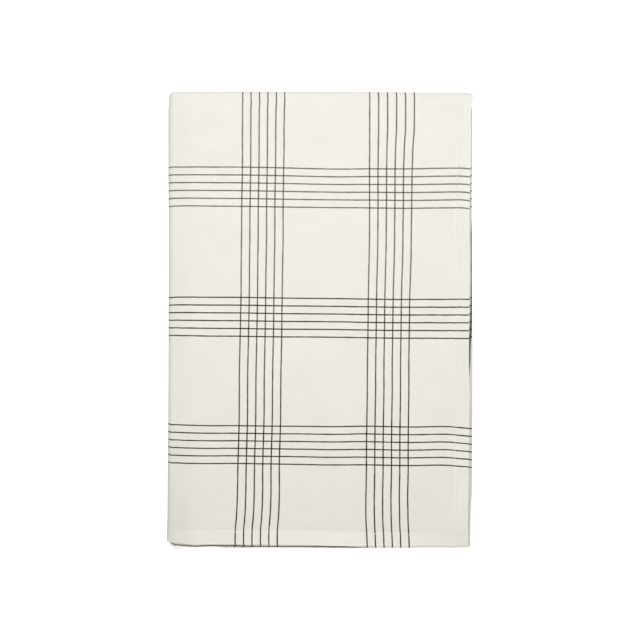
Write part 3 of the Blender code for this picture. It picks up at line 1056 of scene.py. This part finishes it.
def thread_material():
    """Off-white sewing cotton, twisted."""
    n = Nodes("sewing_cotton")
    place = n.new("ShaderNodeTexCoord").outputs["Object"]
    n.put(n.mix(n.noise(place, SEWING_WAVES), *SEWING_COTTONS), n.shader.inputs["Base Color"])
    n.shader.inputs["Roughness"].default_value = 0.6
    n.shader.inputs["Specular IOR Level"].default_value = 0.3
    n.bump(n.noise(place, TWIST_WAVES), strength=0.4, distance=0.00005)
    return n.material


def floor_material():
    """A matt pale surface with the faintest mottling."""
    n = Nodes("pale_floor")
    place = n.new("ShaderNodeTexCoord").outputs["Object"]
    n.put(n.mix(n.noise(place, FLOOR_WAVES), *FLOOR_GREYS), n.shader.inputs["Base Color"])
    n.shader.inputs["Roughness"].default_value = 1.0
    n.shader.inputs["Specular IOR Level"].default_value = 0.0
    return n.material


def glow_material():
    """An even white glow that lets the floor and its shadows through."""
    n = Nodes("white_glow")
    glow = n.new("ShaderNodeEmission").outputs[0]
    glow.node.inputs["Strength"].default_value = GLOW
    both = n.new("ShaderNodeAddShader")
    n.put(glow, both.inputs[0])
    n.put(n.new("ShaderNodeBsdfTransparent").outputs[0], both.inputs[1])
    n.put(both.outputs[0], n.tree.nodes["Material Output"].inputs["Surface"])
    return n.material


def level_sheet(name, height, material):
    """A flat square at this height."""
    corners = ((-1, -1), (1, -1), (1, 1), (-1, 1))
    points = [(x * FLOOR_HALF, y * FLOOR_HALF, height) for x, y in corners]
    sheet = new_piece(name, points, [(0, 1, 2, 3)])
    sheet.data.materials.append(material)
    return sheet


def build_floor():
    """A pale floor, under a white glow that lights nothing and that only a camera sees."""
    level_sheet("floor", FLOOR_HEIGHT, floor_material())
    glow = level_sheet("glow", GLOW_HEIGHT, glow_material())
    glow.visible_diffuse = False
    glow.visible_glossy = False
    glow.visible_transmission = False
    glow.visible_shadow = False


def build_lights():
    """The rectangular lamps of LAMPS, each turned to its target."""
    for lamp in LAMPS:
        data = bpy.data.lights.new(lamp.name, "AREA")
        data.shape = "RECTANGLE"
        data.size, data.size_y = lamp.size
        data.energy = lamp.power
        data.color = lamp.colour
        light = bpy.data.objects.new(lamp.name, data)
        light.location = lamp.place
        aim = Vector(lamp.target) - Vector(lamp.place)
        light.rotation_euler = aim.to_track_quat("-Z", "Y").to_euler()
        bpy.context.scene.collection.objects.link(light)


def build_room():
    """A white room for the camera, which hardly lights the cloth."""
    world = bpy.data.worlds.new("room")
    world.use_nodes = True
    background = world.node_tree.nodes["Background"]
    background.inputs["Color"].default_value = (1.0, 1.0, 1.0, 1)
    seen = world.node_tree.nodes.new("ShaderNodeMath")
    seen.operation = "MULTIPLY_ADD"
    seen.inputs[1].default_value = ROOM_SEEN
    seen.inputs[2].default_value = ROOM_LIGHT
    rays = world.node_tree.nodes.new("ShaderNodeLightPath")
    world.node_tree.links.new(rays.outputs["Is Camera Ray"], seen.inputs[0])
    world.node_tree.links.new(seen.outputs[0], background.inputs["Strength"])
    bpy.context.scene.world = world


def build_camera():
    """Straight above, as high as the bend of the lines over the left fold says."""
    data = bpy.data.cameras.new("camera")
    data.sensor_width = SENSOR * 1000
    top = CAD_BOX[1].z
    data.lens = data.sensor_width * (CAMERA_HEIGHT - top) / FRAME_WIDTH
    camera = bpy.data.objects.new("camera", data)
    camera.location = (*CAMERA_PLACE, CAMERA_HEIGHT)
    bpy.context.scene.collection.objects.link(camera)
    bpy.context.scene.camera = camera


build_camera()
cloth, moved = build_cloth()
cloth.data.materials.append(cotton_material())
stitches = build_stitches(moved)
stitches.data.materials.append(thread_material())
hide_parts("tablecloth")
for piece in (cloth, stitches):
    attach(piece, "root")
build_floor()
build_lights()
build_room()
bpy.context.scene.view_settings.view_transform = "Standard"
